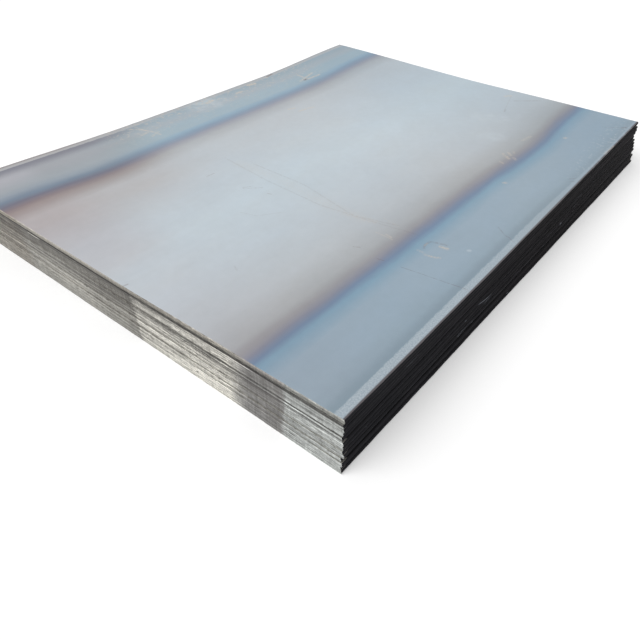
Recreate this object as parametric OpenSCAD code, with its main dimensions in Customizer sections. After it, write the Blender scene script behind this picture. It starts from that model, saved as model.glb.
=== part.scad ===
// A stack of hot-rolled steel plates as it comes off a cut-to-length line.
// Every plate keeps the rounded mill edges of the strip on its long sides and is sheared at both ends.
// The upper plates hold some of the coil's curl, so their ends stand clear of the plates below.
// X runs along the rolling direction, Y across the strip and Z up.
// The origin is on the floor, under the middle of the stack.

/* [Plate] */
// Length of a plate, along the rolling direction
plate_length = 2000; // [1200:10:3000]
// Width of a plate, from mill edge to mill edge
plate_width = 1500; // [900:10:2000]
// Thickness of a plate
plate_thickness = 12; // [8:0.5:20]

/* [Mill edge] */
// How far the rounded mill edge stands out past the flat of the plate
nose_depth = 2.4; // [1:0.1:4]

/* [Sheared end] */
// Radius of the rollover where the shear first bit into the plate
rollover_radius = 1.4; // [0.6:0.1:2]
// Height of the smooth, bright land that the blade burnished
land_height = 3.6; // [2:0.1:5]
// Angle at which the torn rest of the end leans back from the land
break_angle = 5; // [1:0.5:8]

/* [Stack] */
// Number of plates in the stack
plate_count = 13; // [6:1:20]
// Plates below the top one that curl up at their ends
curled_count = 3; // [1:1:4]
// Height by which the ends of those plates curl up
curled_rise = 3; // [1:0.1:6]
// Height by which the ends of the top plate curl up beyond that
top_extra_rise = 3.6; // [1:0.1:8]
// Farthest that a plate lies out of line to the side
side_scatter = 3; // [0:0.5:8]
// Farthest that a plate's end lies out of line
end_scatter = 2; // [0:0.5:8]
// Angle by which the bottom plate lies turned to the top one
bottom_turn = 0.64; // [0:0.02:1.2]
// Distance past the near end of the point that the plates are fanned about
fan_reach = 700; // [0:10:1500]
// Which of many ways the plates happen to lie
scatter_seed = 5; // [1:1:40]

/* [Hidden] */

bright_steel = [0.70, 0.74, 0.76];
mill_scale = [0.58, 0.64, 0.68];

// Straight chords in a rollover, in a rounded mill edge and along a curled plate
rollover_steps = 5;
nose_steps = 8;
curl_runs = 16;

// Room that the shear's scrap has past the plate on every side
trim = 5;
blank_length = plate_length + 2 * (end_scatter + trim);
scrap_length = 4 * (end_scatter + trim);

nose_radius = (pow(plate_thickness / 2, 2) + pow(nose_depth, 2)) / (2 * nose_depth);
nose_angle = 2 * atan(2 * nose_depth / plate_thickness);
break_height = plate_thickness - rollover_radius - land_height;
break_depth = break_height * tan(break_angle);

top_index = plate_count - 1;
first_curled = top_index - curled_count;

side_offsets = side_scatter * rands(-1, 1, plate_count, scatter_seed);
near_offsets = end_scatter * rands(-1, 1, plate_count, scatter_seed + 1);
far_offsets = end_scatter * rands(-1, 1, plate_count, scatter_seed + 2);

// The bottom plate lies out of line by its turn alone
function side_offset(i) = i == 0 ? 0 : side_offsets[i];
function near_end(i) = -plate_length / 2 + (i == 0 ? 0 : near_offsets[i]);
function far_end(i) = plate_length / 2 + (i == 0 ? 0 : far_offsets[i]);

// Angle by which plate i lies turned to the top one: the plates that nest share theirs, and the flat ones fan out
function turn(i) = i == top_index ? 0 : bottom_turn * (1 - min(i, first_curled) / top_index);

// Height by which the ends of plate i curl up
function end_rise(i) =
    i == top_index ? curled_rise + top_extra_rise
    : i >= first_curled ? curled_rise
    : 0;

// Radius of the arc whose ends rise by this much along a plate
function radius_for(rise) = (pow(plate_length / 2, 2) + pow(rise, 2)) / (2 * rise);

// Radius of the underside of plate i, or 0 where it lies flat: the plates below the top one nest on one axis
function curl_radius(i) =
    end_rise(i) == 0 ? 0
    : i == top_index ? radius_for(end_rise(i))
    : radius_for(end_rise(i)) - (i - first_curled) * plate_thickness;

// Angle on each side of the middle that the arc of plate i sweeps, the same for plates that nest
function curl_angle(i) = blank_length / 2 / radius_for(end_rise(i)) * 180 / PI;

// Outline of the strip's cross-section, with its rounded mill edges
function strip_outline() = [
    for (side = [1, -1])
        for (k = [0 : nose_steps])
            let (a = nose_angle * (2 * k / nose_steps - 1))
                [
                    side * (plate_width / 2 - nose_radius * (1 - cos(a))),
                    plate_thickness / 2 + side * nose_radius * sin(a)
                ]
];

// Moves its children a distance along a plate's underside, flat or curled
module along(radius, distance) {
    if (radius == 0)
        translate([distance, 0, 0])
            children();
    else
        translate([0, 0, radius])
            rotate([0, -distance / radius * 180 / PI, 0])
                translate([0, 0, -radius])
                    children();
}

// A length of strip before its ends are sheared, lying flat
module flat_blank() {
    rotate([90, 0, 90])
        linear_extrude(blank_length, center = true)
            polygon(strip_outline());
}

// The same length of strip, curled up round an axis across it
module curled_blank(radius, half_angle) {
    outline = strip_outline();
    n = len(outline);
    points = [
        for (k = [0 : curl_runs])
            let (a = half_angle * (2 * k / curl_runs - 1))
                for (p = outline)
                    [(radius - p.y) * sin(a), p.x, radius - (radius - p.y) * cos(a)]
    ];
    sides = [
        for (k = [0 : curl_runs - 1])
            for (j = [0 : n - 1])
                let (a = k * n + j, b = k * n + (j + 1) % n)
                    [a, a + n, b + n, b]
    ];
    near_cap = [for (j = [0 : n - 1]) j];
    far_cap = [for (j = [n - 1 : -1 : 0]) curl_runs * n + j];
    polyhedron(points, concat(sides, [near_cap, far_cap]));
}

// What the shear takes off an end at x = 0 when the plate lies towards +x and the blade came from above
module shear_scrap() {
    rollover = [
        for (k = [0 : rollover_steps])
            let (a = 180 - 90 * k / rollover_steps)
                [rollover_radius * (1 + cos(a)), plate_thickness - rollover_radius * (1 - sin(a))]
    ];
    lead_out = 2 * rollover[rollover_steps] - rollover[rollover_steps - 1];
    top = plate_thickness + trim;
    rotate([90, 0, 0])
        linear_extrude(plate_width + 2 * trim, center = true)
            polygon(concat(
                [[0, break_height]],
                rollover,
                [lead_out, [lead_out.x, top], [-scrap_length, top], [-scrap_length, -trim]],
                [[break_depth + trim * tan(break_angle), -trim]]
            ));
}

// Turns plate i about the point that the plates are fanned about
module fanned(i) {
    centre = [-plate_length / 2 - fan_reach, 0, 0];
    translate(centre)
        rotate([0, 0, -turn(i)])
            translate(-centre)
                children();
}

// Plate i of the stack: the near end was cut from above, and the far end was pushed down by the blade
module plate(i) {
    radius = curl_radius(i);
    color(i == top_index ? mill_scale : bright_steel)
        fanned(i)
            translate([0, side_offset(i), i * plate_thickness])
                difference() {
                    if (radius == 0) flat_blank();
                    else curled_blank(radius, curl_angle(i));
                    along(radius, near_end(i))
                        shear_scrap();
                    along(radius, far_end(i))
                        translate([0, 0, plate_thickness])
                            rotate([0, 180, 0])
                                shear_scrap();
                }
}

for (i = [0 : plate_count - 1])
    plate(i);
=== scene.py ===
"""A stack of hot-rolled steel plates: heat-tinted scale on top, sheared ends and dark mill edges."""

import math

import bpy
import numpy as np
from mathutils import Matrix, Vector


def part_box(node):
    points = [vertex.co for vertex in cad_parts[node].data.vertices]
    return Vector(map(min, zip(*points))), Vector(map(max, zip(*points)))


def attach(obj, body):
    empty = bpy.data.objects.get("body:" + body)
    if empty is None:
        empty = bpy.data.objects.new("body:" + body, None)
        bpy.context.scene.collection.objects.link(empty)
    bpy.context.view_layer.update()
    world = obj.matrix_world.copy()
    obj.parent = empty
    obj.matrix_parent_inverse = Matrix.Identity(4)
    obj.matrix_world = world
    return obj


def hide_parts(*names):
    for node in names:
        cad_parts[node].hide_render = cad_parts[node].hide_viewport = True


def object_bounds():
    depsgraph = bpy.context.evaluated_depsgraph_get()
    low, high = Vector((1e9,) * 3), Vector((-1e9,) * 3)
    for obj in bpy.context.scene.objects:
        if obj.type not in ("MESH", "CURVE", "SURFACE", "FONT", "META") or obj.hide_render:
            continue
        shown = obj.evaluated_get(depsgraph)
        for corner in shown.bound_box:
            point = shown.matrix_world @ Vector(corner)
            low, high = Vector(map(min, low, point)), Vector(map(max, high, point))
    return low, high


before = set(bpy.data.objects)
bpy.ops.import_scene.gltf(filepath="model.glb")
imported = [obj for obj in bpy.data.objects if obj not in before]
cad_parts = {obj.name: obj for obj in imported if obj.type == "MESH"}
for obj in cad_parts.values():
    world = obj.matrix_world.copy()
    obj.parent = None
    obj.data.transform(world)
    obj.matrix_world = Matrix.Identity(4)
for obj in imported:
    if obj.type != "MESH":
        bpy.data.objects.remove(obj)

cad_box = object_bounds()

MM = 0.001
PLATES = sorted(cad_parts)
TOP = len(PLATES) - 1
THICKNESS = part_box(PLATES[0])[1].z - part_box(PLATES[0])[0].z
STACK_HEIGHT = cad_box[1].z
HALF_LENGTH = 1000 * MM
HALF_WIDTH = 750 * MM

# How the plates lie, as in the part's source
CURLED_COUNT = 3
BOTTOM_TURN = math.radians(0.64)
FAN_CENTRE = -1700 * MM

# The plates with a gap above them: under the top one and under the nested ones
UNDER_TOP = TOP - 1
UNDER_NEST = TOP - 1 - CURLED_COUNT

# How far the ends of the nested plates curl up, how much of that is gone on the left side, and where
NESTED_RISE = 3 * MM
SETTLED_RISE = 2.4 * MM
SETTLED_ACROSS = (-0.45, 0.05)

# The plate's section, as in the part's source
NOSE_DEPTH = 2.4 * MM
ROLLOVER_RADIUS = 1.4 * MM
LAND_HEIGHT = 3.6 * MM
BREAK_ANGLE = math.radians(5)
BREAK_HEIGHT = THICKNESS - ROLLOVER_RADIUS - LAND_HEIGHT
BREAK_LEVEL = BREAK_HEIGHT / THICKNESS
ROLL_LEVEL = 1 - ROLLOVER_RADIUS / THICKNESS

# How finely a plate is meshed
CELLS_ALONG = 280
CELLS_ACROSS = 240
ROLLOVER_STEPS = (0, 25, 50, 70, 90)
BODY_STEPS = 9
SHARP_ANGLE = math.radians(32)

# Relief: lengths and heights of slow waves, and the heights of grain
END_WAVES = ((410 * MM, 0.25 * MM), (97 * MM, 0.12 * MM), (31 * MM, 0.06 * MM))
MILL_WAVES = ((520 * MM, 0.35 * MM), (140 * MM, 0.2 * MM), (37 * MM, 0.1 * MM))
WAVE_STRETCH = (0.8, 1.25)
TORN_GRAIN = 0.16 * MM
MILL_GRAIN = 0.06 * MM
GRAIN_SMEAR = 0.6
FIRST_SEED = 100

# Where the grain fades out, in shares of the thickness
TORN_FADE = (BREAK_LEVEL + 0.06, BREAK_LEVEL - 0.1)
FOOT_FADE = (0, 0.08)
NOSE_FADE = (0, 0.2)

# The swell of the faces: radians a metre along x and y, and the height
SWELL_WAVES = ((2.3, 0.9, 0.35 * MM), (-1.1, 2.1, 0.3 * MM), (3.9, -2.7, 0.12 * MM))

# How the left side bows: its near and far corners stand up and its middle sags, and where that grows
NEAR_BOW = 12 * MM
FAR_BOW = 18 * MM
MIDDLE_SAG = 4 * MM
NEAR_BOW_ALONG = (-0.3, -1.0)
FAR_BOW_ALONG = (0.35, 1.0)
BOW_ACROSS = (-0.1, 0.75)

# The places of the materials on each plate
SCALE, SHEARED, MILL = range(3)


def rgb(red, green, blue):
    """A display colour from 0 to 255 as the linear colour that a shader takes."""
    parts = [c / 255 for c in (red, green, blue)]
    linear = [c / 12.92 if c <= 0.04045 else ((c + 0.055) / 1.055) ** 2.4 for c in parts]
    return (*linear, 1.0)


def smooth_step(value, start, end):
    """0 at start, 1 at end and an easy turn between them."""
    t = np.clip((value - start) / (end - start), 0, 1)
    return t * t * (3 - 2 * t)


def lerp(a, b, t):
    """From a at t = 0 to b at t = 1."""
    return a * (1 - t) + b * t


def wander(rng, place, waves):
    """Slow waves along an edge, each of its own length and height."""
    total = np.zeros_like(place)
    for length, height in waves:
        stretch = rng.uniform(*WAVE_STRETCH)
        total += height * np.sin(2 * math.pi * (place / (length * stretch) + rng.uniform()))
    return total


def grain(rng, shape):
    """Random grain of unit height, a little smoothed along its rows."""
    raw = rng.normal(size=shape)
    soft = raw + GRAIN_SMEAR * (np.roll(raw, 1, axis=1) + np.roll(raw, -1, axis=1))
    return soft / soft.std()


def thickness_levels():
    """Shares of the thickness at which a plate's edge has a ring of points."""
    roll = [1 - (1 - ROLL_LEVEL) * (1 - math.sin(math.radians(a))) for a in ROLLOVER_STEPS]
    body = np.linspace(1 - ROLL_LEVEL, ROLL_LEVEL, BODY_STEPS)
    both = np.concatenate([roll, [1 - r for r in roll], body, [BREAK_LEVEL, 1 - BREAK_LEVEL]])
    return np.unique(np.round(both, 6))


def end_inset(levels):
    """How far a sheared end lies back from its land: the rollover above and the torn part below."""
    over = np.clip(levels - ROLL_LEVEL, 0, None) * THICKNESS
    roll = ROLLOVER_RADIUS - np.sqrt(np.clip(ROLLOVER_RADIUS**2 - over**2, 0, None))
    torn = np.clip(BREAK_LEVEL - levels, 0, None) * THICKNESS * math.tan(BREAK_ANGLE)
    return roll + torn


def nose_inset(levels):
    """How far a mill edge lies back from the middle of its rounded nose."""
    radius = ((THICKNESS / 2) ** 2 + NOSE_DEPTH**2) / (2 * NOSE_DEPTH)
    height = (levels - 0.5) * THICKNESS
    return radius - np.sqrt(radius**2 - height**2)


def end_relief(rng, levels, place):
    """How far a sheared end departs from its plain form: slow waves, and grain where it tore."""
    torn = smooth_step(levels, *TORN_FADE) * smooth_step(levels, *FOOT_FADE)
    pits = grain(rng, (len(levels), len(place))) * torn[:, None] * TORN_GRAIN
    return pits + wander(rng, place, END_WAVES)[None, :]


def mill_relief(rng, levels, place):
    """How far a mill edge departs from its plain form: slow waves and light grain round its nose."""
    nose = smooth_step(levels, *NOSE_FADE) * smooth_step(1 - levels, *NOSE_FADE)
    pits = grain(rng, (len(levels), len(place))) * nose[:, None] * MILL_GRAIN
    return pits + wander(rng, place, MILL_WAVES)[None, :]


def swell(x, y):
    """The gentle swell of the plates' faces, the same for all, so that they lie on each other."""
    waves = sum(h * np.sin(a * x + b * y + a) for a, b, h in SWELL_WAVES)
    corners = NEAR_BOW * smooth_step(x, *NEAR_BOW_ALONG) + FAR_BOW * smooth_step(x, *FAR_BOW_ALONG)
    return waves + (corners - MIDDLE_SAG) * smooth_step(y, *BOW_ACROSS)


def plate_turn(index):
    """Angle by which a plate lies turned to the top one."""
    if index == TOP:
        return 0.0
    return BOTTOM_TURN * (1 - min(index, TOP - CURLED_COUNT) / TOP)


def plate_edges(low, high, turn):
    """Where a plate's near, far, right and left edges lie before its turn, from the box round it."""
    c, s = math.cos(turn), math.sin(turn)
    corners = [[c, 0, s, 0], [0, c, 0, s], [0, -s, c, 0], [-s, 0, 0, c]]
    box = [low.x - FAN_CENTRE, high.x - FAN_CENTRE, low.y, high.y]
    near, far, right, left = np.linalg.solve(corners, box)
    return near + FAN_CENTRE, far + FAN_CENTRE, right, left


def turned(x, y, turn):
    """x and y after a turn about the point that the plates are fanned about."""
    c, s = math.cos(turn), math.sin(turn)
    reach = x - FAN_CENTRE
    return FAN_CENTRE + reach * c + y * s, y * c - reach * s


def plate_rings(rng, levels, edges):
    """x and y of the rings of points round a plate, one ring a level, from the near right corner."""
    near, far, right, left = edges
    along = np.linspace(0, 1, CELLS_ALONG + 1)
    across = np.linspace(0, 1, CELLS_ACROSS + 1)
    x = lerp(near, far, along)
    y = lerp(right, left, across)
    near_x = near + end_inset(levels)[:, None] + end_relief(rng, levels, y)
    far_x = far - end_inset(1 - levels)[:, None] - end_relief(rng, 1 - levels, y)
    right_y = right + nose_inset(levels)[:, None] + mill_relief(rng, levels, x)
    left_y = left - nose_inset(levels)[:, None] - mill_relief(rng, levels, x)
    near_y = lerp(right_y[:, :1], left_y[:, :1], across)
    far_y = lerp(right_y[:, -1:], left_y[:, -1:], across)
    left_x = lerp(near_x[:, -1:], far_x[:, -1:], along)
    right_x = lerp(near_x[:, :1], far_x[:, :1], along)
    ring_x = [near_x[:, :-1], left_x[:, :-1], far_x[:, :0:-1], right_x[:, :0:-1]]
    ring_y = [near_y[:, :-1], left_y[:, :-1], far_y[:, :0:-1], right_y[:, :0:-1]]
    return np.hstack(ring_x), np.hstack(ring_y)


def ring_places():
    """Where on a ring its near, left, far and right edges have their points, and how many it has."""
    total = 2 * (CELLS_ALONG + CELLS_ACROSS)
    along = np.arange(CELLS_ALONG + 1)
    across = np.arange(CELLS_ACROSS + 1)
    near = across
    left = CELLS_ACROSS + along
    far = 2 * CELLS_ACROSS + CELLS_ALONG - across
    right = (total - along) % total
    return near, left, far, right, total


def wall_faces(level_count):
    """The quads round a plate's edge and the material of each."""
    total = ring_places()[4]
    ring = np.arange(total)
    after = (ring + 1) % total
    runs = [(SHEARED, CELLS_ACROSS), (MILL, CELLS_ALONG)] * 2
    row = np.concatenate([np.full(count, kind) for kind, count in runs])
    faces = []
    for k in range(level_count - 1):
        low, high = k * total, (k + 1) * total
        faces.append(np.stack([low + ring, high + ring, high + after, low + after], axis=1))
    return np.vstack(faces).tolist(), np.tile(row, level_count - 1).tolist()


def plain_cap(start, up):
    """A plate's face as strips from side to side, for faces that lie against another plate."""
    near, left, far, right, _ = ring_places()
    faces = [[*near[::-1], right[1], left[1]], [*far, left[-2], right[-2]]]
    for i in range(1, CELLS_ALONG - 1):
        faces.append([right[i], right[i + 1], left[i + 1], left[i]])
    faces = [[int(start + p) for p in face] for face in faces]
    return faces if up else [face[::-1] for face in faces]


def grid_cap(start, first_inner):
    """A plate's top face as a grid of cells, on the top ring and on inner points."""
    near, left, far, right, _ = ring_places()
    grid = np.zeros((CELLS_ALONG + 1, CELLS_ACROSS + 1), int)
    inner = (CELLS_ALONG - 1) * (CELLS_ACROSS - 1)
    grid[1:-1, 1:-1] = np.arange(inner).reshape(CELLS_ALONG - 1, -1) + first_inner
    grid[0, :] = start + near
    grid[-1, :] = start + far
    grid[:, 0] = start + right
    grid[:, -1] = start + left
    cells = [grid[:-1, :-1], grid[1:, :-1], grid[1:, 1:], grid[:-1, 1:]]
    return np.stack([c.ravel() for c in cells], axis=1).tolist()


def inner_points(ring_x, ring_y):
    """x and y of the points inside a plate's top ring, spread evenly between its edges."""
    near, left, far, right, _ = ring_places()
    along = np.linspace(0, 1, CELLS_ALONG + 1)[1:-1, None]
    across = np.linspace(0, 1, CELLS_ACROSS + 1)[None, 1:-1]
    x = lerp(ring_x[near][None, 1:-1], ring_x[far][None, 1:-1], along)
    y = lerp(ring_y[right][1:-1, None], ring_y[left][1:-1, None], across)
    return x.ravel(), y.ravel()


def plate_height(x, y, level, base, rise):
    """Height of a plate's points: its place in the stack, its curl and the swell of the stack."""
    flat = base + level * THICKNESS
    settled = SETTLED_RISE * smooth_step(y, *SETTLED_ACROSS) * min(rise / NESTED_RISE, 1.0)
    return flat + (rise - settled) * (x / HALF_LENGTH) ** 2 + swell(x, y) * flat / STACK_HEIGHT


def plate_form(index):
    """A plate's points, the level of each, its faces and their materials."""
    low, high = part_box(PLATES[index])
    rng = np.random.default_rng(FIRST_SEED + index)
    levels = thickness_levels()
    turn = plate_turn(index)
    ring_x, ring_y = plate_rings(rng, levels, plate_edges(low, high, turn))
    level = np.repeat(levels, ring_x.shape[1])
    x, y = ring_x.ravel(), ring_y.ravel()
    top_start = len(x) - ring_x.shape[1]

    faces, kinds = wall_faces(len(levels))
    caps = plain_cap(0, up=False)
    if index == TOP:
        inner_x, inner_y = inner_points(ring_x[-1], ring_y[-1])
        caps += grid_cap(top_start, len(x))
        x = np.concatenate([x, inner_x])
        y = np.concatenate([y, inner_y])
        level = np.concatenate([level, np.ones_like(inner_x)])
    else:
        caps += plain_cap(top_start, up=True)
    z = plate_height(x, y, level, low.z, high.z - low.z - THICKNESS)
    x, y = turned(x, y, turn)
    return np.stack([x, y, z], axis=1), level, faces + caps, kinds + [SCALE] * len(caps)


def add_attribute(mesh, name, values):
    """A number at each point of the mesh, which the materials read."""
    attribute = mesh.attributes.new(name, "FLOAT", "POINT")
    attribute.data.foreach_set("value", np.asarray(values, np.float32))


def build_plate(index, materials):
    """One plate as a closed mesh in the place of its CAD node."""
    node = PLATES[index]
    points, level, faces, kinds = plate_form(index)
    mesh = bpy.data.meshes.new(f"steel_{node}")
    mesh.from_pydata(points.tolist(), [], faces)
    mesh.polygons.foreach_set("material_index", np.array(kinds, np.int32))
    mesh.shade_smooth()
    mesh.set_sharp_from_angle(angle=SHARP_ANGLE)
    add_attribute(mesh, "level", level)
    add_attribute(mesh, "order", np.full(len(points), index / TOP))
    for material in materials:
        mesh.materials.append(material)
    mesh.update()

    plate = bpy.data.objects.new(f"steel_{node}", mesh)
    bpy.context.collection.objects.link(plate)
    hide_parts(node)
    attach(plate, "root")


class Graph:
    """Short calls that make and wire the nodes of one material or of the world."""

    def __init__(self, owner):
        self.owner = owner
        owner.use_nodes = True
        self.nodes = owner.node_tree.nodes
        self.links = owner.node_tree.links
        self.nodes.clear()

    def put(self, socket, value):
        """Links an output to the socket, or sets the socket's own value."""
        if isinstance(value, bpy.types.NodeSocket):
            self.links.new(value, socket)
        else:
            socket.default_value = value

    def add(self, kind, inputs=None, **settings):
        """A new node with these inputs, by name or number, and these settings."""
        node = self.nodes.new(kind)
        for name, value in settings.items():
            setattr(node, name, value)
        for key, value in (inputs or {}).items():
            self.put(node.inputs[key], value)
        return node

    def math(self, operation, a, b=0.0):
        """One step of arithmetic."""
        return self.add("ShaderNodeMath", {0: a, 1: b}, operation=operation).outputs[0]

    def total(self, first, *others):
        """The sum of the numbers."""
        for other in others:
            first = self.math("ADD", first, other)
        return first

    def product(self, first, *others):
        """The numbers times each other."""
        for other in others:
            first = self.math("MULTIPLY", first, other)
        return first

    def fit(self, value, start, end, low=0.0, high=1.0, kind="SMOOTHSTEP"):
        """The value's way from start to end, as a number from low to high."""
        inputs = {0: value, 1: start, 2: end, 3: low, 4: high}
        return self.add("ShaderNodeMapRange", inputs, interpolation_type=kind).outputs[0]

    def sway(self, noise, height, low=0.2, high=0.8):
        """A noise spread out to run from -height to height."""
        return self.fit(noise, low, high, -height, height, "LINEAR")

    def window(self, value, low, high, soft):
        """1 where the value lies between low and high, and 0 further off than soft."""
        return self.product(self.fit(value, low - soft, low), self.fit(value, high + soft, high))

    def blend(self, share, a, b):
        """A number from a to b."""
        return self.add("ShaderNodeMix", {0: share, 2: a, 3: b}).outputs[0]

    def mix(self, share, a, b, kind="MIX"):
        """A colour from a to b."""
        inputs = {0: share, 6: a, 7: b}
        return self.add("ShaderNodeMix", inputs, data_type="RGBA", blend_type=kind).outputs[2]

    def vector(self, x=0.0, y=0.0, z=0.0):
        """Three numbers as one vector."""
        return self.add("ShaderNodeCombineXYZ", {0: x, 1: y, 2: z}).outputs[0]

    def steps(self, operation, a, inputs, output=0):
        """One step of arithmetic with vectors."""
        return self.add("ShaderNodeVectorMath", {0: a, **inputs}, operation=operation).outputs[output]

    def noise(self, place, detail=2.0, roughness=0.5):
        """Noise with one feature a unit of the place."""
        inputs = {"Vector": place, "Scale": 1.0, "Detail": detail, "Roughness": roughness}
        return self.add("ShaderNodeTexNoise", inputs).outputs[0]

    def pattern(self, place, per_metre, detail=2.0, roughness=0.5):
        """Noise with so many features a metre along x, y and z."""
        return self.noise(self.steps("MULTIPLY", place, {1: per_metre}), detail, roughness)

    def ramp(self, value, stops):
        """A colour by a number from 0 to 1. The stops are pairs of place and colour."""
        node = self.add("ShaderNodeValToRGB", {0: value})
        node.color_ramp.interpolation = "LINEAR"
        elements = node.color_ramp.elements
        while len(elements) < len(stops):
            elements.new(1.0)
        for element, (place, colour) in zip(elements, stops):
            element.position = place
            element.color = colour
        return node.outputs[0]

    def attribute(self, name):
        """A number that the mesh has at each point."""
        return self.add("ShaderNodeAttribute", attribute_name=name).outputs["Fac"]

    def position(self):
        """The point in the part's frame, in metres, and its x, y and z."""
        place = self.add("ShaderNodeTexCoord").outputs["Object"]
        parts = self.add("ShaderNodeSeparateXYZ", {0: place}).outputs
        return place, parts[0], parts[1], parts[2]

    def bump(self, height, distance, strength):
        """The surface's direction with a fine relief."""
        inputs = {"Height": height, "Distance": distance, "Strength": strength}
        return self.add("ShaderNodeBump", inputs).outputs[0]

    def surface(self, **sockets):
        """Ends the material in a shader with these sockets and returns the material."""
        names = {key.replace("_", " ").title(): value for key, value in sockets.items()}
        names = {key.replace("Ior", "IOR"): value for key, value in names.items()}
        shader = self.add("ShaderNodeBsdfPrincipled", names)
        self.add("ShaderNodeOutputMaterial", {0: shader.outputs[0]})
        return self.owner


# Colours of the scale, from the plate's middle out to its side
PALE_STEEL = rgb(193, 204, 211)
COOL_GREY = rgb(189, 198, 205)
MID_GREY = rgb(183, 189, 194)
DULL_GREY = rgb(168, 171, 174)
STRAW_GREY = rgb(150, 150, 154)
MAUVE = rgb(131, 135, 150)
DEEP_BLUE = rgb(113, 133, 159)
CLEAR_BLUE = rgb(127, 157, 177)
SKY_GREY = rgb(150, 168, 182)
SLATE_GREY = rgb(142, 160, 173)
CALM_GREY = rgb(186, 192, 197)
ASH_GREY = rgb(172, 176, 180)
LILAC_GREY = rgb(154, 156, 166)
DUSTY_BLUE = rgb(138, 148, 165)
STEEL_BLUE = rgb(131, 151, 171)
BRIGHT_BLUE = rgb(142, 168, 186)
PALE_BLUE = rgb(157, 176, 187)
HAZE_GREY = rgb(164, 174, 182)
ROSE_GREY = rgb(182, 182, 184)
ROSE_BROWN = rgb(154, 146, 145)
DUSK_MAUVE = rgb(134, 124, 128)
DUSK_BLUE = rgb(110, 111, 127)
DUSK_TEAL = rgb(114, 131, 149)
MIST_BLUE = rgb(144, 156, 167)
FADED_BLUE = rgb(158, 166, 173)
FADED_GREY = rgb(170, 173, 180)
LIGHT_SCALE = rgb(174, 185, 192)
MOTTLED_SCALE = rgb(152, 166, 177)
EDGE_LINE = rgb(131, 148, 160)
DUSK_LINE = rgb(124, 125, 136)
BEIGE_SCALE = rgb(172, 172, 174)
CHALK = rgb(203, 192, 178)
SHEEN = rgb(192, 202, 208)
RUST_BROWN = rgb(112, 96, 92)
RIM_BROWN = rgb(72, 61, 62)

# How the colours follow each other, by the distance from the middle in mm
RIGHT_TINT = (
    (0, PALE_STEEL), (200, COOL_GREY), (350, MID_GREY), (440, DULL_GREY), (470, STRAW_GREY),
    (490, MAUVE), (510, DEEP_BLUE), (530, CLEAR_BLUE), (575, SKY_GREY), (650, SKY_GREY),
    (715, SLATE_GREY),
)
LEFT_TINT = (
    (0, PALE_STEEL), (220, COOL_GREY), (385, CALM_GREY), (440, ASH_GREY), (470, LILAC_GREY),
    (488, DUSTY_BLUE), (506, STEEL_BLUE), (530, BRIGHT_BLUE), (552, PALE_BLUE), (600, PALE_BLUE),
    (640, HAZE_GREY), (690, PALE_BLUE),
)
NEAR_LEFT_TINT = (
    (0, PALE_STEEL), (150, COOL_GREY), (320, ROSE_GREY), (375, ROSE_GREY), (436, ROSE_BROWN),
    (460, DUSK_MAUVE), (486, DUSK_BLUE), (510, DUSK_TEAL), (542, MIST_BLUE), (575, FADED_BLUE),
    (635, FADED_GREY),
)

# Patches and marks on the top: x and y in mm of the points that each runs through, its width,
# and how clear it is
SHEEN_PATCHES = (
    (((-20, 690), (40, 690)), 130, 0.6),
    (((625, -240), (660, -305)), 90, 0.45),
    (((461, -316), (487, -380)), 80, 0.35),
    (((-288, -655), (-286, -657)), 12, 1.0),
)
PALE_MARKS = (
    (((-345, -548), (-330, -547)), 7, 0.35),
    (((-321, -586), (-319, -605)), 13, 0.7),
    (((-378, -545), (-378, -562), (-385, -574)), 9, 0.25),
    (((-383, -580), (-381, -594), (-372, -611)), 9, 0.5),
    (((647, -579), (655, -582)), 16, 0.5),
    (((156, -557), (162, -560)), 14, 0.5),
    (((367, -457), (351, -470)), 12, 0.4),
    (((351, -477), (340, -490)), 13, 0.5),
    (((387, -468), (372, -484)), 11, 0.45),
    (((411, -477), (396, -486)), 9, 0.3),
    (((357, -503), (349, -512)), 13, 0.45),
    (((298, -477), (292, -492)), 12, 0.3),
    (((521, -464), (576, -473)), 14, 0.3),
    (((-372, 712), (-343, 683), (-328, 639), (-322, 590)), 11, 0.55),
    (((-374, 634), (-342, 640)), 12, 0.5),
    (((-353, 598), (-309, 617)), 12, 0.45),
    (((9, 694), (49, 700)), 18, 0.8),
    (((183, 399), (208, 388)), 12, 0.65),
    (((196, 352), (229, 347)), 12, 0.6),
    (((246, 345), (268, 337)), 12, 0.65),
    (((-375, -403), (-378, -462)), 4, 0.45),
    (((-347, -314), (-340, -359)), 4, 0.3),
    (((-293, -378), (-307, -441)), 3, 0.25),
    (((912, -217), (932, -231)), 20, 0.45),
    (((603, -741), (702, -746)), 6, 0.4),
    (((528, 637), (516, 569), (595, 561)), 12, 0.65),
    (((474, 576), (595, 603)), 12, 0.65),
    (((281, 714), (318, 712)), 20, 0.9),
    (((175, 684), (206, 685)), 16, 0.75),
    (((-308, 200), (-310, 0), (-335, -200), (-340, -340)), 50, 0.1),
    (((-347, -275), (-329, -368)), 26, 0.2),
    (((-366, -435), (-370, -454)), 8, 0.4),
)
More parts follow.
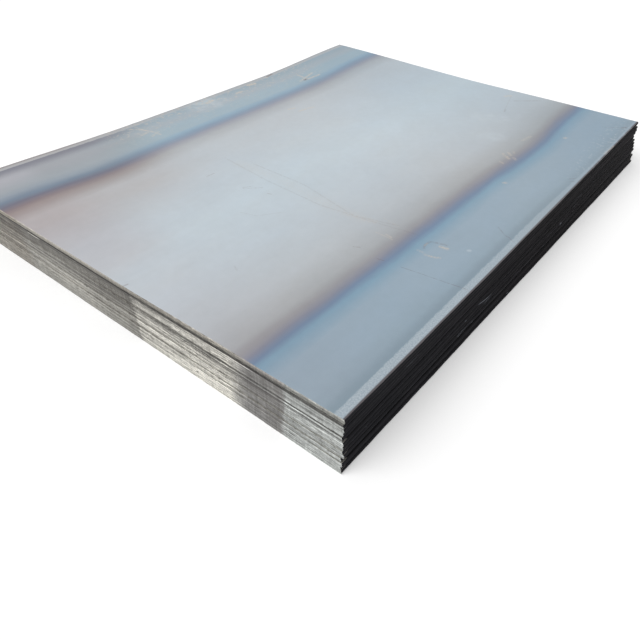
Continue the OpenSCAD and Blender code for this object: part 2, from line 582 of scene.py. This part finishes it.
DARK_MARKS = (
    (((-478, -552), (-470, -608), (-461, -681), (-454, -727), (-456, -747)), 3, 0.45),
    (((-117, -664), (-147, -699), (-150, -713), (-163, -731)), 4, 0.35),
    (((850, -654), (896, -722)), 4, 0.35),
    (((893, -719), (909, -730)), 9, 0.55),
    (((328, -714), (346, -729)), 5, 0.4),
    (((310, -721), (320, -733)), 5, 0.35),
    (((884, -269), (960, -356)), 8, 0.3),
    (((767, -283), (744, -289)), 8, 0.3),
    (((-358, -552), (-337, -546), (-317, -550), (-311, -567), (-306, -582), (-304, -596)), 9, 0.3),
    (((497, 570), (513, 572)), 14, 0.8),
    (((425, 731), (458, 735)), 14, 0.8),
    (((758, -283), (806, -270), (931, -235)), 4, 0.15),
    (((-451, 212), (-417, 211)), 4, 0.3),
    (((-406, -15), (-402, -29)), 4, 0.35),
    (((-430, 69), (-407, 57)), 4, 0.25),
    (((-546, -34), (-531, -83), (-467, -126)), 4, 0.14),
    (((-480, -399), (-470, -415)), 4, 0.4),
    (((-486, -482), (-482, -502)), 4, 0.4),
    (((-758, -215), (-769, -236)), 5, 0.2),
    (((-310, 267), (-342, 46), (-356, -187), (-336, -342), (-310, -497)), 7, 0.14),
    (((-280, 159), (-285, -64), (-341, -300), (-302, -436)), 7, 0.14),
    (((-432, 63), (-388, 23)), 5, 0.2),
    (((-1000, -67), (-988, -69)), 6, 0.5),
)

# Tinges that whole parts of the top have
FAR_CAST = (0.86, 0.905, 0.935, 1)
NEAR_CAST = (0.945, 0.9, 0.895, 1)
END_GREY_CAST = (0.99, 0.955, 0.95, 1)
DUSK_CAST = (0.86, 0.88, 0.88, 1)

# Faces that lie against another plate: how dark the painted shade makes them where they show in the
# gaps, and the ledges that show at their ends
PAINTED_GAP_SHADE = (0.1, 0.11, 0.12, 1)
LEDGE_DARK = rgb(112, 110, 104)
LEDGE_LIGHT = rgb(160, 158, 151)
LEDGE_START = (0.985, 0.992)
LEDGE_STREAKS = (0.35, 0.65)
OPEN_LEVEL = (0.4, 0.9)
NEST_GAP_Y = (-0.05, -0.35)
# How much the ledges give way to the painted shade under the gaps
GAP_ON_LEDGE = 0.45

# Stretches along x and across y in metres, over which one look of the top goes over into another.
# Where there are three numbers, the last is how softly the stretch ends
MIDDLE_Y = (-0.02, 0.02)
NEAR_LEFT_X = (-0.3, -0.65)
NEAR_END_X = (-0.6, -1.0)
FAR_PART_X = (0.1, 0.9)
CORNER_X = (-0.7, -0.92)
CORNER_Y = (0.05, 0.42, 0.12)
DUSK_X = (-0.75, -0.45, 0.12)
DUSK_Y = (0.54, 0.64)

# How far the tint's lines lie out of place: from x to x, and from how far to how far, in metres
RIGHT_DRIFT = ((-0.9, 0.0, -0.006, 0.002), (0.0, 0.5, 0.0, 0.023), (0.5, 0.85, 0.0, -0.021))
LEFT_DRIFT = ((-0.65, -0.3, -0.004, 0.013), (-0.65, -0.9, 0.0, 0.014), (0.5, 0.85, 0.0, 0.014))
TINT_FRAY = 0.006

# The strip along the right side, in metres: its place, its width and the darker line inside it,
# and how clear they are by x
RIGHT_SIDE = -0.748
STRIP_WIDTH = (-0.1, 0.6, 0.025, 0.013)
STRIP_EDGE = (0.002, -0.003)
STRIP_CLEAR = (-0.6, 0.4, 1.0, 0.3)
STRIP_FRAY = 0.003
LINE_INSIDE = (0.034, 0.004)
LINE_OUTSIDE = (-0.004, 0.002)
LINE_CLEAR = (-0.4, 0.5, 0.9, 0.5)
RIM_Y = (-0.7421, -0.7461, 0.0, 0.9)

# The strip along the left side in the same way, with a line of rust
LEFT_STRIP = 0.719
LEFT_EDGE = (0.0, 0.005)
LEFT_CLEAR = (-0.22, -0.6, 0.7, 1.0)
LEFT_LINE_INSIDE = (-0.062, -0.002)
LEFT_LINE_OUTSIDE = (0.004, 0.0)
LEFT_LINE_CLEAR = (-0.22, -0.6, 0.2, 1.0)
RUST_Y = (0.731, 0.741)
RUST_CLEAR = (-0.45, -0.65, 0.12, 0.45)

# Worn specks along both sides: where they lie and how clear they are
RIGHT_WEAR_X = (0.2, 0.6, 0.0, 0.6)
RIGHT_WEAR_Y = (-0.745, -0.7, 0.05)
LEFT_WEAR_X = (-0.4, 0.6, 0.15)
LEFT_WEAR_Y = (0.52, 0.7, 0.0, 0.55)

# Noises of the scale: features a metre along x, y and z, detail and roughness
TINT_WANDER = ((5, 24, 0), 4, 0.6)
STRIP_WANDER = ((45, 90, 0), 4, 0.6)
MOTTLE = ((240, 300, 0), 3, 0.5)
PATCHES = ((22, 22, 0), 5, 0.6)
CLOUD = ((5, 7, 0), 6, 0.65)
HUE = ((2.2, 4.5, 3), 4, 0.6)
ROLLING = ((1.2, 60, 1), 4, 0.6)
DUST = ((420, 420, 0), 2, 0.5)
BLOTCH = ((38, 38, 0), 3, 0.5)
WEAR = ((60, 60, 0), 6, 0.7)
RUBBING = ((130, 130, 0), 3, 0.5)

# How those noises show: which part of a noise gives how much, and the fine relief's height and strength
NARROW = (0.3, 0.7)
MOTTLE_SHARE = (0.35, 0.65)
PATCHES_SHARE = (0.35, 0.65, 0.2, 1.0)
CLOUD_TONE = (0.25, 0.75, 0.955, 1.04)
ROLLING_TONE = 0.022
DUST_TONE = 0.03
BLOTCH_TONE = 0.022
HUE_WARMTH = 0.014
WEAR_SHARE = (0.53, 0.64)
RUBBING_SHARE = (0.35, 0.6, 0.2, 1.0)
SCALE_ROUGHNESS = (0.6, 1.4, 0.46, 0.6)
DUST_RELIEF = 0.4
SCALE_RELIEF = (0.05 * MM, 0.6)

# A mark's softness: where it begins to show and where it is full, in shares of its width
MARK_EDGE = (0.7, 0.15)

# Half the width of the window that picks one plate by its order in the stack
PLATE_WINDOW = 0.02


def on_plate(g, order, index):
    """1 on one plate of the stack and 0 on the others."""
    return g.window(order, index / TOP - PLATE_WINDOW, index / TOP + PLATE_WINDOW, PLATE_WINDOW)


def edge_noise(g, run, level, seed, recipe):
    """Noise that is drawn out along an edge, other on each plate."""
    per_metre, per_plate, detail, roughness = recipe
    place = g.vector(g.product(run, per_metre), g.product(level, per_plate), seed)
    return g.noise(place, detail, roughness)


def by_reach(g, reach, stops):
    """A colour by the distance from the plate's middle."""
    return g.ramp(g.math("DIVIDE", reach, HALF_WIDTH), [(mm * MM / HALF_WIDTH, c) for mm, c in stops])


def cast(g, where, colour, tinge):
    """The colour with a tinge where it is asked for."""
    return g.mix(where, colour, g.mix(1.0, colour, tinge, "MULTIPLY"))


def stroke(g, place, start, end, width, clear):
    """A soft line between two points on the plate, from 0 beside it to how clear it is."""
    a = Vector((*start, 0)) * MM
    run = Vector((*end, 0)) * MM - a
    offset = g.steps("SUBTRACT", place, {1: a})
    share = g.steps("DOT_PRODUCT", offset, {1: run / run.length_squared}, "Value")
    share = g.math("MAXIMUM", g.math("MINIMUM", share, 1.0), 0.0)
    nearest = g.steps("SCALE", run, {3: share})
    gap = g.steps("DISTANCE", offset, {1: nearest}, "Value")
    faint, full = MARK_EDGE
    return g.fit(gap, faint * width * MM, full * width * MM, 0.0, clear)


def strokes(g, place, marks):
    """All the marks of a list in one, the clearest on top."""
    most = None
    for points, width, clear in marks:
        for start, end in zip(points, points[1:]):
            line = stroke(g, place, start, end, width, clear)
            most = line if most is None else g.math("MAXIMUM", most, line)
    return most


def drift(g, x, parts):
    """How far a line of the heat tint lies out of place, by x."""
    return g.total(*[g.fit(x, *part) for part in parts])


def heat_tint(g, place, x, y):
    """The scale's colour by the place on the plate, with a wandering line along each side."""
    left = g.fit(y, *MIDDLE_Y)
    offset = g.blend(left, drift(g, x, RIGHT_DRIFT), drift(g, x, LEFT_DRIFT))
    fray = g.pattern(place, *TINT_WANDER)
    reach = g.math("SUBTRACT", g.math("ABSOLUTE", y), offset)
    reach = g.total(reach, g.sway(fray, TINT_FRAY))
    near = g.fit(x, *NEAR_LEFT_X)
    left_tint = g.mix(near, by_reach(g, reach, LEFT_TINT), by_reach(g, reach, NEAR_LEFT_TINT))
    tint = g.mix(left, by_reach(g, reach, RIGHT_TINT), left_tint)
    corner = g.product(g.fit(x, *CORNER_X), g.window(y, *CORNER_Y))
    dusk = g.product(g.window(x, *DUSK_X), g.fit(y, *DUSK_Y))
    tint = cast(g, g.fit(x, *NEAR_END_X), tint, END_GREY_CAST)
    tint = cast(g, corner, tint, NEAR_CAST)
    tint = cast(g, dusk, tint, DUSK_CAST)
    return cast(g, g.fit(x, *FAR_PART_X), tint, FAR_CAST)


def right_strip(g, colour, place, x, y, fray):
    """The light strip along the right side, with a darker line inside it and a brown rim outside."""
    mottle = g.fit(g.pattern(place, *MOTTLE), *MOTTLE_SHARE)
    light = g.mix(mottle, LIGHT_SCALE, MOTTLED_SCALE)
    inset = g.total(y, -RIGHT_SIDE, fray)
    beside = g.math("SUBTRACT", inset, g.fit(x, *STRIP_WIDTH))
    line = g.product(g.fit(beside, *LINE_INSIDE), g.fit(beside, *LINE_OUTSIDE))
    colour = g.mix(g.product(line, g.fit(x, *LINE_CLEAR)), colour, EDGE_LINE)
    colour = g.mix(g.product(g.fit(beside, *STRIP_EDGE), g.fit(x, *STRIP_CLEAR)), colour, light)
    return g.mix(g.fit(y, *RIM_Y), colour, RIM_BROWN)


def left_strip(g, colour, x, y, fray):
    """The beige strip along the left side, with a dusky line inside it."""
    over = g.total(y, -LEFT_STRIP, fray)
    line = g.product(g.fit(over, *LEFT_LINE_INSIDE), g.fit(over, *LEFT_LINE_OUTSIDE))
    line = g.product(line, g.fit(x, *LEFT_LINE_CLEAR))
    strip = g.product(g.fit(over, *LEFT_EDGE), g.fit(x, *LEFT_CLEAR))
    colour = g.mix(strip, colour, BEIGE_SCALE)
    return g.mix(line, colour, DUSK_LINE)


def edge_strips(g, colour, place, x, y):
    """The strips along both sides, with pale patches and rust on them."""
    fray = g.sway(g.pattern(place, *STRIP_WANDER), STRIP_FRAY)
    colour = right_strip(g, colour, place, x, y, fray)
    colour = left_strip(g, colour, x, y, fray)
    flat = g.steps("MULTIPLY", place, {1: (1, 1, 0)})
    patchy = g.fit(g.pattern(place, *PATCHES), *PATCHES_SHARE)
    colour = g.mix(g.product(strokes(g, flat, SHEEN_PATCHES), patchy), colour, SHEEN)
    return g.mix(g.product(g.fit(y, *RUST_Y), g.fit(x, *RUST_CLEAR)), colour, RUST_BROWN)


def worn_and_marked(g, colour, place, x, y):
    """The colour with worn specks along the sides and with the pale and dark marks."""
    flat = g.steps("MULTIPLY", place, {1: (1, 1, 0)})
    worn = g.fit(g.pattern(place, *WEAR), *WEAR_SHARE)
    right_wear = g.product(g.fit(x, *RIGHT_WEAR_X), g.window(y, *RIGHT_WEAR_Y))
    left_wear = g.product(g.window(x, *LEFT_WEAR_X), g.fit(y, *LEFT_WEAR_Y))
    colour = g.mix(g.product(worn, right_wear), colour, LIGHT_SCALE)
    colour = g.mix(g.product(worn, left_wear), colour, CHALK)
    rub = g.fit(g.pattern(place, *RUBBING), *RUBBING_SHARE)
    pale = g.product(strokes(g, flat, PALE_MARKS), rub)
    dark = g.product(strokes(g, flat, DARK_MARKS), rub)
    colour = g.mix(pale, colour, CHALK)
    return g.mix(dark, colour, RUST_BROWN)


def with_painted_gap_shade(g, colour, streak, x, y):
    """The colour on the open top, and painted shade with pale ledges where plates lie on each other."""
    order = g.attribute("order")
    open_face = g.product(on_plate(g, order, TOP), g.fit(g.attribute("level"), *OPEN_LEVEL))
    under_nest = g.product(on_plate(g, order, UNDER_NEST), g.fit(y, *NEST_GAP_Y))
    under_gap = g.total(on_plate(g, order, UNDER_TOP), under_nest)
    ledge = g.fit(g.math("ABSOLUTE", x), *LEDGE_START)
    ledge = g.math("MAXIMUM", g.math("SUBTRACT", ledge, g.product(under_gap, GAP_ON_LEDGE)), 0.0)
    # Painted shade: the faces between plates are darkened like the shade in the gaps
    painted_shade = g.mix(1.0, colour, PAINTED_GAP_SHADE, "MULTIPLY")
    streaked = g.mix(g.fit(streak, *LEDGE_STREAKS), LEDGE_DARK, LEDGE_LIGHT)
    painted_shade = g.mix(ledge, painted_shade, streaked)
    return g.mix(open_face, painted_shade, colour)


def scale_material():
    """Blue-grey mill scale, heat-tinted along both sides, with painted shade where plates lie on each
    other.
    """
    g = Graph(bpy.data.materials.new("mill_scale"))
    place, x, y, _ = g.position()
    colour = edge_strips(g, heat_tint(g, place, x, y), place, x, y)

    cloud = g.pattern(place, *CLOUD)
    hue = g.pattern(place, *HUE)
    streak = g.pattern(place, *ROLLING)
    dust = g.pattern(place, *DUST)
    blotch = g.pattern(place, *BLOTCH)
    tone = g.total(g.fit(cloud, *CLOUD_TONE, "LINEAR"), g.sway(streak, ROLLING_TONE))
    tone = g.total(tone, g.sway(dust, DUST_TONE), g.sway(blotch, BLOTCH_TONE))
    warmth = g.sway(hue, HUE_WARMTH, *NARROW)
    shade = g.vector(g.total(tone, warmth), tone, g.math("SUBTRACT", tone, warmth))
    colour = g.mix(1.0, colour, shade, "MULTIPLY")

    colour = worn_and_marked(g, colour, place, x, y)
    # Painted shade where plates lie on each other and in the gaps
    colour = with_painted_gap_shade(g, colour, streak, x, y)
    rough = g.fit(g.total(cloud, streak), *SCALE_ROUGHNESS, "LINEAR")
    normal = g.bump(g.total(g.product(dust, DUST_RELIEF), streak), *SCALE_RELIEF)
    return g.surface(base_color=colour, roughness=rough, metallic=0.3, normal=normal)


# The cut ends across the plate, by y in mm: their tone, how far plates and streaks differ in it,
# how clear the speckle is, and their tinge
END_TONE = (
    (-750, 0.67), (-596, 0.65), (-589, 0.465), (-490, 0.46), (-425, 0.69), (-250, 0.665), (-100, 0.625),
    (-94, 0.42), (-86, 0.42), (-80, 0.46), (60, 0.47), (110, 0.51), (200, 0.52), (340, 0.48),
    (405, 0.47), (420, 0.43),
)
END_SPREAD = (
    (-750, 0.6), (-596, 0.6), (-589, 0.32), (-490, 0.32), (-425, 1.05), (-100, 1.0), (-80, 0.55),
    (200, 0.65), (405, 0.6), (750, 0.6),
)
END_SPECKLE = (
    (-750, 0.9), (-596, 0.9), (-589, 0.25), (-490, 0.25), (-425, 1.6), (-260, 1.4), (-230, 1.1),
    (-100, 1.05), (-80, 0.45), (200, 0.42), (340, 0.6), (420, 0.7),
)
END_COLOURS = (
    (0.1, rgb(46, 43, 40)), (0.35, rgb(92, 89, 84)), (0.5, rgb(129, 127, 122)),
    (0.65, rgb(168, 166, 160)), (0.8, rgb(209, 206, 199)), (0.95, rgb(240, 237, 229)),
)
COOL_CAST = (0.885, 0.945, 0.99, 1)
GREY_CAST = (0.94, 0.95, 1.0, 1)
NO_CAST = (1.0, 1.0, 0.985, 1)
BROWN_CAST = (1.0, 0.955, 0.9, 1)
END_CAST = (
    (-750, COOL_CAST), (-596, COOL_CAST), (-589, GREY_CAST), (-490, GREY_CAST), (-430, NO_CAST),
    (380, NO_CAST), (430, BROWN_CAST),
)

# Noises along the cut ends: features a metre, features a plate's thickness, detail and roughness
PLATE_SHADE = (2.5, 0.0, 1, 0.55)
END_STREAK = (2.4, 3.4, 4, 0.6)
END_GRAIN = (38.0, 9.0, 4, 0.7)
END_PITS = (80.0, 5.0, 2, 0.55)
END_DASHES = (13.0, 7.0, 3, 0.55)
ZONE_FRAY = (3.0, 0.0, 2, 0.55)
END_SEED = 61.0

# How those noises show in the tone, with hatching across, the burnished land and a darker lower edge
PLATE_TONE = 0.1
STREAK_TONE = 0.4
GRAIN_TONE = 0.32
PIT_TONE = (0.6, 0.7, 0.0, -0.35)
DASH_TONE = (0.6, 0.68, 0.0, 0.16)
HATCH_ALONG = 170
HATCH_UP = 12
HATCH_TONE = 0.09
LAND_SOFT = 0.08
LAND_TONE = 0.05
LOW_EDGE_TONE = (0.1, 0.0, 0.0, -0.14)
ZONE_WANDER = 0.006
END_ROUGHNESS = (0, 1, 0.55, 0.4)
FINE_RELIEF = (0.4 * MM, 0.5)

# How far the zones of the ends lean over, by y in metres, and the height at which they are in place
ZONE_LEAN = (-0.45, -0.3, 0.0, 0.115)
LEAN_HEIGHT = 0.07

# Where the ends get lighter towards the floor, by y and by height in metres
LOWER_Y = (-0.45, -0.4)
LOWER_LIGHT = (0.14, 0.06, -0.16, 0.06)

# The top plate's end: its tone, its lighter rim by the share of the thickness, how much it keeps
# of the streaks and how brown it is
TOP_TONE = 0.5
TOP_RIM = (0.74, 0.86, 0.01, 0.1)
TOP_STREAKS = 0.5
TOP_BROWN = 0.7

# Painted shadows and painted glints by the gaps: where they are in the thickness and by y in metres,
# and how strong
TOP_SHADOW = (0.62, 0.7, 0.0, 0.4)
NEST_SHADOW_LEVEL = (0.45, 0.75, 0.1)
NEST_SHADOW_Y = (-0.05, -0.5, 0.0, 0.2)
GLINT_LEVEL = (0.46, 0.58, 0.05)
GLINT_Y = (0.31, 0.362, 0.006)
FAINT_GLINT_Y = (-0.485, -0.39, 0.03)
FAINT_GLINT = 0.6
GLINT = 0.5
FOOT_LEVEL = (-0.1, 0.14, 0.06)
FOOT_LIGHT = (-0.38, -0.5, 0.0, 0.3)


def across(g, y, stops):
    """A colour, or a tone as a grey, by the place across the plate."""
    pairs = []
    for mm, value in stops:
        colour = value if isinstance(value, tuple) else (value, value, value, 1)
        pairs.append((0.5 + mm * MM / (2 * HALF_WIDTH), colour))
    return g.ramp(g.total(g.math("DIVIDE", y, 2 * HALF_WIDTH), 0.5), pairs)


def painted_gap_lights(g, level, order, y):
    """Lighter or darker ends: painted shadows under the two gaps, painted glints, and lighter at the
    stack's foot.
    """
    under_top = on_plate(g, order, UNDER_TOP)
    # Painted shadows under the gap below the top plate and under the nested plates
    shadow = g.product(under_top, g.fit(level, *TOP_SHADOW))
    under_nest = g.product(on_plate(g, order, UNDER_NEST), g.fit(y, *NEST_SHADOW_Y))
    shadow = g.total(shadow, g.product(under_nest, g.window(level, *NEST_SHADOW_LEVEL)))
    # Painted glints: thin bright lines on the plate under the top one
    bright = g.window(y, *GLINT_Y)
    faint = g.product(g.window(y, *FAINT_GLINT_Y), FAINT_GLINT)
    glint = g.product(under_top, g.window(level, *GLINT_LEVEL), GLINT)
    glint = g.product(glint, g.math("MAXIMUM", bright, faint))
    plates_up = g.total(g.product(order, TOP), level)
    foot = g.product(g.window(plates_up, *FOOT_LEVEL), g.fit(y, *FOOT_LIGHT))
    return g.math("SUBTRACT", g.total(glint, foot), shadow)


def sheared_material():
    """The cut ends: a burnished land over a torn part, in zones across the plate, streaked and worn."""
    g = Graph(bpy.data.materials.new("sheared_end"))
    _, _, y, z = g.position()
    level = g.attribute("level")
    order = g.attribute("order")
    seed = g.product(order, END_SEED)

    def along(recipe):
        return edge_noise(g, y, level, seed, recipe)

    plate = g.sway(along(PLATE_SHADE), PLATE_TONE)
    streak = g.sway(along(END_STREAK), STREAK_TONE)
    fine = g.sway(along(END_GRAIN), GRAIN_TONE)
    hatch = g.noise(g.vector(g.product(y, HATCH_ALONG), g.product(z, HATCH_UP)), 3)
    hatch = g.sway(hatch, HATCH_TONE)
    pits = g.fit(along(END_PITS), *PIT_TONE)
    dashes = g.fit(along(END_DASHES), *DASH_TONE)

    lean = g.product(g.math("SUBTRACT", z, LEAN_HEIGHT), g.fit(y, *ZONE_LEAN))
    zone = g.total(g.math("SUBTRACT", y, lean), g.sway(along(ZONE_FRAY), ZONE_WANDER))
    land = g.window(level, BREAK_LEVEL, ROLL_LEVEL, LAND_SOFT)
    lower = g.product(g.fit(y, *LOWER_Y), g.fit(z, *LOWER_LIGHT, "LINEAR"))
    rows = g.total(plate, streak, pits, dashes, g.product(land, LAND_TONE))
    speckle = g.product(fine, across(g, zone, END_SPECKLE))
    tone = g.total(across(g, zone, END_TONE), g.product(rows, across(g, zone, END_SPREAD)))
    tone = g.total(tone, speckle, lower, hatch, g.fit(level, *LOW_EDGE_TONE))

    top = on_plate(g, order, TOP)
    top_tone = g.total(g.fit(level, *TOP_RIM), TOP_TONE, hatch, speckle)
    top_tone = g.total(top_tone, g.product(g.total(streak, pits), TOP_STREAKS))
    # The painted shadows and glints by the gaps
    tone = g.total(g.blend(top, tone, top_tone), painted_gap_lights(g, level, order, y))

    colour = g.mix(1.0, g.ramp(tone, END_COLOURS), across(g, zone, END_CAST), "MULTIPLY")
    colour = cast(g, g.product(top, TOP_BROWN), colour, BROWN_CAST)
    rough = g.fit(land, *END_ROUGHNESS, "LINEAR")
    normal = g.bump(g.total(rows, fine, hatch), *FINE_RELIEF)
    return g.surface(base_color=colour, roughness=rough, metallic=0.45, normal=normal)


# Scratches on the right side, written like the marks on the top but by x and z, and the edges' colours
SIDE_SCRATCHES = (
    (((-405, 85), (-324, 77)), 1.6, 0.8),
    (((-515, 53), (-480, 50)), 2.2, 0.9),
    (((-462, 49), (-452, 48)), 3, 0.7),
    (((-440, 52), (-434, 52)), 4, 0.7),
    (((-476, 78), (-470, 77)), 4, 0.6),
    (((-202, 13), (-196, 13)), 7, 0.5),
    (((184, 67), (192, 67)), 7, 0.5),
)
# A scratch grey, also the colour of the painted light towards the near end
SCRATCH_GREY_AND_PAINTED_LIGHT = rgb(138, 142, 150)
# Near-black, partly the scale's own colour and partly painted shade
MILL_SCALE_AND_SHADE_COLOURS = ((0.3, rgb(14, 12, 14)), (0.6, rgb(23, 21, 24)), (0.8, rgb(41, 38, 42)))
MILL_SEED = 47.0
RUB_SEED = 3

# Noises along the mill edges: features a metre, features a plate's thickness (a metre up for the rubs),
# detail and roughness
MILL_PLATE = (1.5, 0.0, 1, 0.5)
MILL_STREAK = (4, 4, 4, 0.5)
MILL_SPECK = (60, 6, 3, 0.5)
MILL_RUBS = (5, 420, 2, 0.5)

# How specks, rubs and a painted lightening towards the near end show on the mill edges, and their fine
# relief
SPECK_SHARE = (0.72, 0.8, 0.0, 0.5)
RUB_SHARE = (0.7, 0.76, 0.0, 0.6)
PAINTED_LIGHT_X = (0.2, -0.9, 0.0, 0.05)
RIGHT_ONLY_Y = (0.0, -0.1)
PLATE_STREAK = 0.12
MILL_DUST_RELIEF = 0.3
MILL_RELIEF = (0.2 * MM, 0.4)
MILL_DUST = (500, 500, 500)


def mill_material():
    """The rounded mill edges: near-black scale and painted shade, with faint rubs and a few pale
    scratches along them.
    """
    g = Graph(bpy.data.materials.new("mill_edge"))
    place, x, y, z = g.position()
    level = g.attribute("level")
    seed = g.product(g.attribute("order"), MILL_SEED)
    plate = edge_noise(g, x, level, seed, MILL_PLATE)
    streak = edge_noise(g, x, level, seed, MILL_STREAK)
    streak = g.total(streak, g.sway(plate, PLATE_STREAK, *NARROW))
    speck = edge_noise(g, x, level, seed, MILL_SPECK)
    rubs = edge_noise(g, x, z, RUB_SEED, MILL_RUBS)
    dust = g.pattern(place, MILL_DUST)
    scratches = strokes(g, g.vector(x, z), SIDE_SCRATCHES)

    # Near-black: partly the scale's colour and partly painted shade
    colour = g.ramp(streak, MILL_SCALE_AND_SHADE_COLOURS)
    colour = g.mix(g.fit(speck, *SPECK_SHARE), colour, SCRATCH_GREY_AND_PAINTED_LIGHT)
    colour = g.mix(g.fit(rubs, *RUB_SHARE), colour, SCRATCH_GREY_AND_PAINTED_LIGHT)
    # Painted light: the edges made lighter towards the near end, where they lie in shade
    colour = g.mix(g.fit(x, *PAINTED_LIGHT_X), colour, SCRATCH_GREY_AND_PAINTED_LIGHT)
    colour = g.mix(g.product(scratches, g.fit(y, *RIGHT_ONLY_Y)), colour, SCRATCH_GREY_AND_PAINTED_LIGHT)
    normal = g.bump(g.total(streak, g.product(dust, MILL_DUST_RELIEF)), *MILL_RELIEF)
    finish = {"roughness": 0.62, "metallic": 0.0, "specular_ior_level": 0.03}
    return g.surface(base_color=colour, normal=normal, **finish)


# The floor: its reach, how far it lies below the stack, its grey and the glow that makes it white
FLOOR_SPREAD = 40.0
FLOOR_DROP = 0.4 * MM
FLOOR_GREY = 0.8
FLOOR_LIFT = 0.3
WHITE = (1, 1, 1, 1)


def seen_directly(g):
    """1 where a camera, glossy or transmission ray looks at the surface, and 0 for light."""
    path = g.add("ShaderNodeLightPath")
    seen = g.math("MAXIMUM", path.outputs["Is Camera Ray"], path.outputs["Is Glossy Ray"])
    return g.math("MAXIMUM", seen, path.outputs["Is Transmission Ray"])


def build_floor():
    """A plain pale floor that shows white where it is lit and keeps the stack's shadow."""
    s = FLOOR_SPREAD
    mesh = bpy.data.meshes.new("floor")
    corners = [(-s, -s), (s, -s), (s, s), (-s, s)]
    mesh.from_pydata([(x, y, -FLOOR_DROP) for x, y in corners], [], [(0, 1, 2, 3)])
    g = Graph(bpy.data.materials.new("floor"))
    matt = g.add("ShaderNodeBsdfDiffuse", {0: (FLOOR_GREY, FLOOR_GREY, FLOOR_GREY, 1)})
    glow = g.add("ShaderNodeEmission", {0: WHITE, 1: g.product(seen_directly(g), FLOOR_LIFT)})
    both = g.add("ShaderNodeAddShader", {0: matt.outputs[0], 1: glow.outputs[0]})
    g.add("ShaderNodeOutputMaterial", {0: both.outputs[0]})
    mesh.materials.append(g.owner)
    floor = bpy.data.objects.new("floor", mesh)
    bpy.context.collection.objects.link(floor)


# The light: the sky's strength, where the lamp stands, its light on a level face and its width
SKY_STRENGTH = 0.52
SUN_TOWARDS = Vector((-0.6, 0.3, 0.74))
SUN_ON_TOP = 0.445
SUN_SPREAD = math.radians(50)


def build_light():
    """Soft white light from all round, and a broad lamp from the upper left."""
    world = bpy.data.worlds.new("studio")
    bpy.context.scene.world = world
    g = Graph(world)
    strength = g.fit(seen_directly(g), 0.0, 1.0, SKY_STRENGTH, 1.0, "LINEAR")
    sky = g.add("ShaderNodeBackground", {0: WHITE, 1: strength})
    g.add("ShaderNodeOutputWorld", {0: sky.outputs[0]})

    lamp = bpy.data.lights.new("key", "SUN")
    towards = SUN_TOWARDS.normalized()
    lamp.energy = SUN_ON_TOP * math.pi / towards.z
    lamp.angle = SUN_SPREAD
    key = bpy.data.objects.new("key", lamp)
    key.rotation_euler = towards.to_track_quat("Z", "Y").to_euler()
    bpy.context.collection.objects.link(key)


# The camera: its place in metres, its lens and sensor in mm, and its direction
CAMERA_PLACE = Vector((-1.6385, -1.1588, 1.0569))
CAMERA_LENS = 33.265
CAMERA_SENSOR = 36
CAMERA_AZIMUTH = math.radians(53.213)
CAMERA_TILT = math.radians(40.212)
CAMERA_ROLL = math.radians(1.907)


def build_camera():
    """The camera at the photograph's place, looking down along the near corner."""
    ahead = math.cos(CAMERA_TILT)
    down = -math.sin(CAMERA_TILT)
    forward = Vector((ahead * math.sin(CAMERA_AZIMUTH), ahead * math.cos(CAMERA_AZIMUTH), down))
    level_right = forward.cross(Vector((0, 0, 1))).normalized()
    level_up = level_right.cross(forward)
    right = level_right * math.cos(CAMERA_ROLL) + level_up * math.sin(CAMERA_ROLL)
    up = right.cross(forward)
    data = bpy.data.cameras.new("camera")
    data.lens = CAMERA_LENS
    data.sensor_width = CAMERA_SENSOR
    camera = bpy.data.objects.new("camera", data)
    direction = Matrix((right, up, -forward)).transposed().to_4x4()
    camera.matrix_world = Matrix.Translation(CAMERA_PLACE) @ direction
    bpy.context.collection.objects.link(camera)
    bpy.context.scene.camera = camera


bpy.context.scene.view_settings.view_transform = "Standard"
build_camera()
build_floor()
build_light()
finishes = [scale_material(), sheared_material(), mill_material()]
for number in range(len(PLATES)):
    build_plate(number, finishes)
